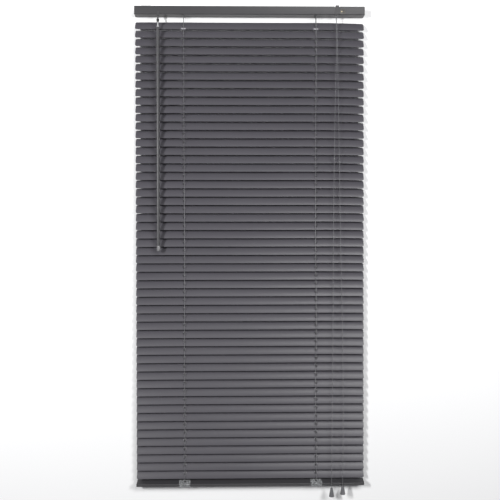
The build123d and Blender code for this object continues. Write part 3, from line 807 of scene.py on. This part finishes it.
headrail_parts = {
    "headrail_channel": ((0, 0, -14), rail_paint, "rail_paint", 0.0),
    "end_cap_left": ((-295, 0, -14), cap_plastic, "dark_plastic", 0.25),
    "end_cap_right": ((295, 0, -14), cap_plastic, "dark_plastic", 0.25),
    "lintel_clip_left": ((-270, 0, -2), zinc_steel, "rod_steel", 0.15),
    "lintel_clip_right": ((270, 0, -2), zinc_steel, "rod_steel", 0.15),
    "drum_cradle_left": ((-173, 0, -19), gear_case_plastic, "dark_plastic", 0.15),
    "drum_cradle_right": ((173, 0, -19), gear_case_plastic, "dark_plastic", 0.15),
    "tilter_case": ((-238, -2.5, -18), gear_case_plastic, "dark_plastic", 0.2),
    "lock_case": ((239, 0, -13.5), lock_plastic, "dark_plastic", 0.4),
    "lock_plate": ((242.5, -11.4, -16.6), lock_steel, "rod_steel", 0.08),
    "lock_roller": ((240.2, -6.9, -16.6), lock_brass, "lock_brass", 0.2),
    "lock_pin": ((240.2, -5.8, -16.6), lock_brass, "lock_brass", 0.15),
}
place_solids("headrail", "frame", headrail_parts)

rod_parts = {
    "tilt_rod_bar": ((-34, 0, -13), rod_steel, "rod_steel", 0.15),
    "tilter_hub": ((-238, 0, -13), ivory_nylon, "clear_plastic", 0.15),
    "drum_left": ((-173, 0, -13), ivory_nylon, "clear_plastic", 0.15),
    "drum_right": ((173, 0, -13), ivory_nylon, "clear_plastic", 0.15),
}
place_solids("tilt_rod", "rod", rod_parts)

rail_middle = rail_height / MM
bottom_parts = {
    "bottom_rail_tube": ((0, 0, rail_middle), rail_paint, "rail_paint", 0.0),
    "bottom_plug_left": ((-294, 0, rail_middle), cap_plastic, "dark_plastic", 0.25),
    "bottom_plug_right": ((294, 0, rail_middle), cap_plastic, "dark_plastic", 0.25),
    "ladder_clip_left": ((-173, -5, rail_middle), ladder_clip_clear, "clear_plastic", 0.3),
    "ladder_clip_right": ((173, -5, rail_middle), ladder_clip_clear, "clear_plastic", 0.3),
}
place_solids("bottom_rail", "rail", bottom_parts)

top_clip_parts = {
    "top_clip_left": ((-173, -5.3, -60.4), top_clip_clear, "clear_plastic", 0.15),
    "top_clip_right": ((173, -5.3, -60.4), top_clip_clear, "clear_plastic", 0.15),
}
place_solids("slat_01", "slat_01_body", top_clip_parts)
print("kept shapes:", len(headrail_parts) + len(rod_parts) + len(bottom_parts) + len(top_clip_parts))

# %% [markdown]
# ## The stem, the hook and the wand
#
# The tilter's stem leans out of the headrail and ends in a black knob. A black
# cup sits round the knob as the socket of a ball joint does. It carries a clear
# hook, and the wand hangs from that: a long hexagonal stick with softened corners
# and a pale round-ended tip. All are profiles that a lathe could turn. The wand
# then gets its flats, and the hook is pressed thin where it is an open loop.

# %% Stem and knob
stem_lean = math.radians(20)
stem_way = np.array([0, math.sin(stem_lean), math.cos(stem_lean)])


def stem_piece(name, knots, finish):
    """A turned form on the leaning stem: (radius, height above the knob), as a tube."""
    radius, height = (eased(knots, 40) * MM).T
    path = wand_place + height[:, None] * stem_way
    thing = tube(name, path, radius, 24)
    finish_piece(thing, "frame", finish, ["headrail"])


stem_knots = [(1.4, 2.2), (1.7, 2.8), (1.7, 8), (1.9, 8.4), (1.9, 9.2), (1.7, 9.6), (1.7, 22.5)]
knob_knots = [(0.15, -2.5), (1.3, -2.3), (2.1, -1.6), (2.5, -0.2), (2.4, 1.0), (1.9, 2.0), (1.6, 2.3)]
stem_piece("tilter_stem", stem_knots, stem_grey)
stem_piece("tilter_knob", knob_knots, black_plastic)
print("stem leans", round(math.degrees(stem_lean)), "degrees")


# %% Hook and cup
hook_length = 18  # mm from the knob down to the wand's top
hook_knots = [(0, -hook_length), (2.6, -hook_length), (3.6, -17.6), (3.3, -16), (1.9, -13)]
hook_knots += [(1.45, -10.5), (1.6, -8.4), (2.3, -6.2), (2.5, -5.2), (2.4, -4.4), (0, -4.4)]
hook_line = eased(hook_knots, 60) * MM
hook_line[[0, -1], 0] = 0
hook_keep = np.interp(-hook_line[:, 1] / MM, [0, 4, 9, hook_length], [1, 1, 0.62, 0.7])
hook = turned("wand_hook", hook_line, wand_place, 28, keep=hook_keep)
finish_piece(hook, "wand", hook_clear, ["tilt_wand"])

cup_knots = [(2.3, -4.9), (2.8, -4.6), (3.4, -2.2), (3.6, 0.4), (3.6, 2.6), (3.4, 3.0), (3.05, 2.8)]
cup_knots += [(2.85, 1.6), (2.65, 0), (2.6, -1.2), (2.1, -2.5), (1.6, -3.4), (1.6, -4.5)]
cup_line = np.array(cup_knots) * MM
cup = turned("hook_cup", cup_line, wand_place, 32, closed=True)
finish_piece(cup, "wand", black_plastic, ["tilt_wand"])
print("hook", len(hook_line), "rings, cup", len(cup_line), "rings")


# %% Wand and tip
def hexagon(sides):
    """How far a softened hexagon lies outside its inner circle, for each angle.

    A flat is 1 / cos(angle from the flat's middle), held down at the corners."""
    from_flat = angles(sides) % (math.pi / 3) - math.pi / 6
    return np.minimum(1 / np.cos(from_flat), corner_reach)


wand_centre = np.array([wand_place[0], wand_place[1], 0])
wand_top = wand_place[2] - hook_length * MM
wand_sides = 36
half_flats = 4.0 * MM
corner_reach = 1.115  # a sharp corner would reach 1.155
shaft_heights = np.concatenate([[0, 0, 0.6, 2.5, 5.0], np.linspace(9, 565, 40)]) * MM
shaft_share = np.concatenate([[0, 0.74, 0.83, 0.88, 0.995], np.full(40, 1.0)])
shaft = np.stack([half_flats * shaft_share, wand_top - shaft_heights], -1)
shaft_foot = wand_foot + 7.2 * MM  # inside the tip
shaft = np.concatenate([shaft, [[half_flats, shaft_foot], [0, shaft_foot]]])
wand = turned("wand_shaft", shaft, wand_centre, wand_sides, shape=hexagon(wand_sides))
finish_piece(wand, "wand", wand_plastic, ["tilt_wand"])

tip_knots = [(0, 0), (2.2, 0.05), (3.9, 0.7), (4.8, 2.4), (4.96, 4.5), (4.96, 9), (4.9, 13.2)]
tip_knots += [(4.65, 13.9), (4.3, 14), (4.2, 13), (4.2, 7.3), (0, 7.1)]
tip_line = eased(tip_knots, 48) * MM
tip_line[[0, -1], 0] = 0
tip_line[:, 1] = np.maximum(tip_line[:, 1], 0) + wand_foot
tip = turned("wand_tip", tip_line, wand_centre, wand_sides)
finish_piece(tip, "wand", tip_plastic, ["tilt_wand"])
print("wand from", round(wand_top / MM, 1), "to", round(wand_foot / MM, 1), "mm")

# %% [markdown]
# ## Ladder strings and lift cords
#
# A ladder's string goes up the front of the slats, over its drum and down the
# back. It hangs nearly straight, wanders by a millimetre where it was once folded
# for the box, and bows forwards where the first slat's clip comes up. The lift
# cords run up through the slats' holes, along the headrail and out of the lock.

# %% Ladder strings
string_radius = 0.45 * MM
string_place = 7.85 * MM  # in front of the slats' lines and behind them, and the drum's reach
string_foot = np.array([3.8, 7.7]) * MM  # above the rail's line, in front and behind
string_bow = 1.1 * MM  # forwards, where the first slat's clip comes up when it is turned
bow_height = pivots[0][2] + 9.5 * MM
bow_reach = 5.5 * MM


def wander(height, strays):
    """Sideways drift of a string: a sum of sines that vanishes at both ends.

    Each stray is (how far, how many half waves from top to bottom)."""
    share = (rod_height - height) / (rod_height - rail_height)
    return sum(far * MM * np.sin(math.pi * waves * share) for far, waves in strays)


def make_string(name, ladder, front_strays, back_strays):
    """Up the front, half round the drum, and down the back."""
    heights = np.linspace(rod_height, rail_height, 150)
    front = heights[::-1][heights[::-1] > rail_height + string_foot[0]]
    back = heights[heights > rail_height + string_foot[1]]
    turn = np.linspace(math.pi, 0, 19)[1:-1]
    bow = string_bow * np.exp(-(((front - bow_height) / bow_reach) ** 2))
    over_y, over_z = string_place * np.cos(turn), rod_height + string_place * np.sin(turn)
    path = np.concatenate([
        np.stack([ladder + wander(front, front_strays), -string_place - bow, front], -1),
        np.stack([np.full_like(turn, ladder), over_y, over_z], -1),
        np.stack([ladder + wander(back, back_strays), np.full_like(back, string_place), back], -1),
    ])
    finish_piece(tube(name, path, string_radius, 8), "frame", string_braid, ["cords"])


make_string("ladder_string_left", ladder_places[0], [(1.5, 1), (0.5, 5)], [(0.4, 3)])
make_string("ladder_string_right", ladder_places[1], [(-0.9, 1), (1.1, 4), (0.7, 7)], [(0.5, 3)])
print("strings from the drums, at", round(rod_height / MM), "mm, to the rail")


# %% Routes of the cords
def smooth_route(name, points):
    """Points along the smooth line that is drawn towards each of these points."""
    curve = bpy.data.curves.new(name, "CURVE")
    curve.dimensions = "3D"
    curve.resolution_u = 14
    spline = curve.splines.new("NURBS")
    spline.points.add(len(points) - 1)
    weighted = np.column_stack([points, np.ones(len(points))])
    spline.points.foreach_set("co", weighted.ravel())
    spline.order_u = 3
    spline.use_endpoint_u = True
    carrier = bpy.data.objects.new(name, curve)
    line = bpy.data.meshes.new_from_object(carrier)
    places = np.empty(3 * len(line.vertices))
    line.vertices.foreach_get("co", places)
    bpy.data.objects.remove(carrier)
    return places.reshape(-1, 3)


cord_radius = 0.6 * MM
cord_height = -22.7 * MM  # inside the headrail, just above the cradles' bases
exit_front = -9 * MM
exit_height = -26.5 * MM
exit_left, exit_right = 224.933 * MM, 226.733 * MM
rail_under = rail_height - 5.3 * MM
turn_run = 3 * MM
most_of_leg = 1 / 2.2  # a turn takes no more than this of the way to the next one


def lift_route(ladder, drift, exit_x):
    """Corners of a lift cord, each with a point before and after it to keep the turn small."""
    stops = np.array([
        (ladder, 0, rail_under),
        (ladder, 0, cord_height),
        (exit_x, drift, cord_height),
        (exit_x, exit_front, cord_height),
        (exit_x, exit_front, exit_height),
    ])
    points = [stops[0]]
    for before, corner, after in zip(stops, stops[1:], stops[2:]):
        for other in (before, corner, after):
            away = other - corner
            far = max(np.linalg.norm(away), MM / 1000)
            points.append(corner + away / far * min(turn_run, far * most_of_leg))
    points.append(stops[-1])
    return np.array(points)


def make_lift_cord(name, ladder, drift, exit_x):
    """One cord from under the rail up through the slats and along to the lock's spout."""
    path = smooth_route(name, lift_route(ladder, drift, exit_x))
    finish_piece(tube(name, path, cord_radius, 8), "frame", pull_braid, ["cords"])


make_lift_cord("lift_cord_left", ladder_places[0], -1.8 * MM, exit_left)
make_lift_cord("lift_cord_right", ladder_places[1], 0.6 * MM, exit_right)
print("lift cords leave the headrail", round((exit_right - exit_left) / MM, 2), "mm apart")

# %% Stoppers under the rail
stopper_knots = [(0.75, -3), (2.6, -3), (3.35, -2.4), (3.4, -1.5), (3.3, -0.5), (2.7, 0), (0.75, 0)]


def make_stopper(name, ladder):
    """Bead under the rail that the lift cord is knotted into."""
    profile = np.array(stopper_knots) * MM
    bead = turned(name, profile, (ladder, 0, rail_under), 28, closed=True)
    finish_piece(bead, "frame", black_plastic, ["cords"])


make_stopper("stopper_left", ladder_places[0])
make_stopper("stopper_right", ladder_places[1])
print("pieces so far:", len(pieces))

# %% [markdown]
# ## The pull cords
#
# Two cords leave the lock's spout. Each is a fixed length of thin braid that
# hangs free in front of the slats, drifts apart from its neighbour on the way
# down, and carries a bead and a fluted tassel whose knot sits inside.

# %% Routes of the pull cords
# Each corner is (along X from the exit, Y, Z), in mm.
left_route = [
    (0.0, -9.0, -26.5),
    (0.1, -10.6, -36.5),
    (0.4, -14.2, -58),
    (1.4, -15.0, -110),
    (-2.1, -15.1, -212),
    (-5.2, -14.9, -400),
    (-8.0, -15.1, -620),
    (-8.4, -14.9, -850),
    (-11.4, -15.1, -1080),
    (-12.4, -15.0, -1263),
]
right_route = [
    (0.0, -9.0, -26.5),
    (0.1, -10.6, -36.5),
    (0.3, -14.2, -58),
    (1.3, -15.0, -110),
    (3.1, -15.1, -212),
    (6.2, -14.9, -410),
    (9.6, -15.1, -625),
    (14.8, -14.9, -850),
    (16.9, -15.1, -1075),
    (14.9, -15.0, -1257),
]
print("corners:", len(left_route), len(right_route))

# %% Tassels, beads and knots
tassel_outer = [(0.75, 0), (1.9, 0), (2.9, -0.35), (3.3, -1.3), (3.6, -3), (4.5, -8)]
tassel_outer += [(5.6, -14), (6.6, -19.5), (6.95, -21.4)]
tassel_inner = [(6.8, -22), (6.0, -22), (5.7, -21), (2.6, -5.5), (1.8, -4.2), (0.75, -4.1)]
tassel_sides = 72
flutes = 12
flute_depth = 0.09  # as a share of the radius
flute_fade = (1, 6)  # mm below the top, from no flute to the full depth
bead_knots = [(0.7, -2.5), (1.5, -2.5), (1.95, -1.6), (2.0, 0), (1.95, 1.6), (1.5, 2.5), (0.7, 2.5)]


def make_tassel(name, place):
    """Fluted cone: radius times 1 - depth * (1 - cos(flutes * angle)) / 2.

    The depth fades out towards the shoulder, and there is none inside."""
    outer, inner = eased(tassel_outer, 30), eased(tassel_inner, 18)
    profile = np.concatenate([outer, inner]) * MM
    pressed = np.interp(-outer[:, 1], flute_fade, (0, flute_depth))
    depth = np.concatenate([pressed, np.zeros(len(inner))])
    shape = 1 - depth[:, None] * (1 - np.cos(flutes * angles(tassel_sides))) / 2
    cone = turned(name, profile, place, tassel_sides, shape=shape, closed=True)
    return finish_piece(cone, "frame", tassel_plastic, ["cords"])


def make_bead(name, path, height):
    """Barrel bead on the cord, at one height of its path."""
    place = path[np.argmin(np.abs(path[:, 2] - height))]
    bead = turned(name, np.array(bead_knots) * MM, place, 24, closed=True)
    return finish_piece(bead, "frame", tassel_plastic, ["cords"])


def make_knot(name, place):
    """The cord's own end inside the tassel: a straight stub and a lumpy knot."""
    height = np.array([0, -3.9, -4.3, -4.7, -5.4, -6.2, -6.9, -7.4, -7.5])
    radius = np.array([0.6, 0.6, 1.0, 1.5, 1.65, 1.6, 1.3, 0.7, 0.2])
    path = place + height[:, None] * np.array([0, 0, MM])
    knot = tube(name, path, radius * MM, 12)
    return finish_piece(knot, "frame", pull_braid, ["cords"])


print("tassel:", len(tassel_outer) + len(tassel_inner), "knots,", flutes, "flutes")


# %% Pull cords
def make_pull_cord(side, route, exit_x, bead_height):
    """One cord with its bead, tassel and knot; its length is printed."""
    points = np.array(route) * MM + np.array([exit_x, 0, 0])
    path = smooth_route(f"pull_route_{side}", points)
    cord = tube(f"pull_cord_{side}", path, cord_radius, 8)
    finish_piece(cord, "frame", pull_braid, ["cords"])
    carried = [
        make_bead(f"cord_bead_{side}", path, bead_height),
        make_tassel(f"tassel_{side}", points[-1]),
        make_knot(f"tassel_knot_{side}", points[-1]),
    ]
    steps = np.linalg.norm(np.diff(path, axis=0), axis=1)
    print("pull cord", side, round(float(steps.sum()), 4), "m")


make_pull_cord("left", left_route, exit_left, -400 * MM)
make_pull_cord("right", right_route, exit_right, -410 * MM)

# %% [markdown]
# ## Wall and floor
#
# The blind hangs close in front of a white wall, which catches its shadows and
# shows white past the slats' ends. Wall and floor are seen from their front
# only, so that the blind can be looked at from behind.

# %% Wall and floor
def stage_paint(name, colour):
    """Matt paint that is there for the camera on its front side only.

    Light that comes from behind passes it once, to show the blind's own back,
    and is stopped after that, so that none leaks out between the slats."""
    material = bpy.data.materials.new(name)
    material.use_nodes = True
    tree = material.node_tree
    tree.nodes.clear()
    paint = tree.nodes.new("ShaderNodeBsdfDiffuse")
    paint.inputs["Color"].default_value = (*colour, 1)
    nothing = tree.nodes.new("ShaderNodeBsdfTransparent")
    path = tree.nodes.new("ShaderNodeLightPath").outputs
    camera_ray, glossy_ray, shadow_ray, bounces = [
        Value(tree, path[kind])
        for kind in ("Is Camera Ray", "Is Glossy Ray", "Is Shadow Ray", "Diffuse Depth")
    ]
    back = Value(tree, tree.nodes.new("ShaderNodeNewGeometry").outputs["Backfacing"])
    late = (bounces + shadow_ray - 1).clamped()
    mix = tree.nodes.new("ShaderNodeMixShader")
    tree.links.new(((camera_ray + glossy_ray) * (1 - back) + late).clamped().socket, mix.inputs[0])
    tree.links.new(nothing.outputs[0], mix.inputs[1])
    tree.links.new(paint.outputs[0], mix.inputs[2])
    tree.links.new(mix.outputs[0], tree.nodes.new("ShaderNodeOutputMaterial").inputs[0])
    return material


def stage_sheet(name, corners, colour):
    """A wall or floor: one quad that is part of the stage, not of the blind."""
    sheet = mesh_object(name, corners, [[0, 1, 2, 3]])
    sheet.data.materials.append(stage_paint(f"{name}_paint", colour))


wall_back = 13.6 * MM
reach = 3.0
floor_height = -1.52
wall_white = (0.86, 0.86, 0.865)
floor_white = (0.86, 0.86, 0.86)
square = [(-reach, -reach), (reach, -reach), (reach, reach), (-reach, reach)]
wall_corners = [(x, wall_back, max(z, floor_height)) for x, z in square]
floor_corners = [(x, y, floor_height) for x, y in square]
stage_sheet("wall", wall_corners, wall_white)
stage_sheet("floor", floor_corners, floor_white)
print("wall", round(wall_back / MM, 1), "mm behind the slats' lines")

# %% [markdown]
# ## Lamps and world
#
# Two soft lamps stand at the height of the blind's top, and light its foot less.
# The narrow one at the left and the wider one at the right throw the wand's and
# the cords' shadows to both sides. A long lamp over the camera lies along the
# crowns as a sheen, and a strong one far out behind lights the back. The world
# is white only where the camera looks straight at it, and dim in reflections.

# %% Lamps
def lamp(name, place, target, width, height, watts):
    """A soft lamp: a rectangle of light that faces its target."""
    light = bpy.data.lights.new(name, "AREA")
    light.shape = "RECTANGLE"
    light.size, light.size_y = width, height
    light.energy = watts
    thing = bpy.data.objects.new(name, light)
    bpy.context.scene.collection.objects.link(thing)
    aim(thing, place, target)


def aim(thing, place, target):
    """Put a lamp at a place, its -Z towards the target and its Y upwards."""
    way = np.array(target) - np.array(place)
    way = way / np.linalg.norm(way)
    right = np.cross(way, (0, 0, 1))
    right = right / np.linalg.norm(right)
    up = np.cross(right, way)
    turn = mathutils.Matrix([right, up, -way]).transposed().to_4x4()
    thing.matrix_world = mathutils.Matrix.Translation(place) @ turn


blind_middle = (0.0, 0.0, -0.64)
blind_top = (0.0, 0.0, -0.05)
lamp("left_lamp", (-1.5, -2.05, -0.05), blind_top, 0.2, 0.8, 59.5)
lamp("right_lamp", (1.35, -1.85, -0.05), blind_top, 0.6, 0.8, 34)
lamp("top_lamp", (0.95, -3.0, 1.5), blind_top, 1.3, 0.4, 36)
lamp("back_lamp", (2.3, 1.5, -0.5), blind_middle, 1.2, 1.2, 90)
print("lamps:", len(bpy.data.lights))

# %% World
glossy_share = 0.15
world = bpy.data.worlds.new("room")
bpy.context.scene.world = world
world.use_nodes = True
nodes, links = world.node_tree.nodes, world.node_tree.links
nodes.clear()
seen = nodes.new("ShaderNodeBackground")
ambient = nodes.new("ShaderNodeBackground")
seen.inputs["Color"].default_value = (1, 1, 1, 1)
ambient.inputs["Color"].default_value = (0.96, 0.97, 1.0, 1)
ambient.inputs["Strength"].default_value = 0.10
path_kind = nodes.new("ShaderNodeLightPath")
seen_ray, glossy_ray, through_ray = [
    Value(world.node_tree, path_kind.outputs[f"Is {kind} Ray"])
    for kind in ("Camera", "Glossy", "Transmission")
]
choose = nodes.new("ShaderNodeMixShader")
whiteness = (seen_ray + glossy_ray * glossy_share + through_ray).clamped()
links.new(whiteness.socket, choose.inputs[0])
links.new(ambient.outputs[0], choose.inputs[1])
links.new(seen.outputs[0], choose.inputs[2])
links.new(choose.outputs[0], nodes.new("ShaderNodeOutputWorld").inputs[0])
print("world nodes:", len(nodes))

# %% [markdown]
# ## Camera, and a count of the pieces
#
# The camera stands about 1.7 m off, at half the blind's height, and looks down
# by less than a degree.

# %% Camera
camera = bpy.data.cameras.new("camera")
camera.sensor_width = 36
camera.lens = 46.578
camera_object = bpy.data.objects.new("camera", camera)
bpy.context.scene.collection.objects.link(camera_object)
camera_object.location = (-28.2 * MM, -1701.6 * MM, -616.1 * MM)
camera_object.rotation_euler = [math.radians(angle) for angle in (89.273, 0.106, -0.939)]
bpy.context.scene.camera = camera_object
bpy.context.scene.view_settings.view_transform = "Standard"
print("lens mm:", camera.lens)

# %% Count of pieces
print("pieces:", len(pieces))
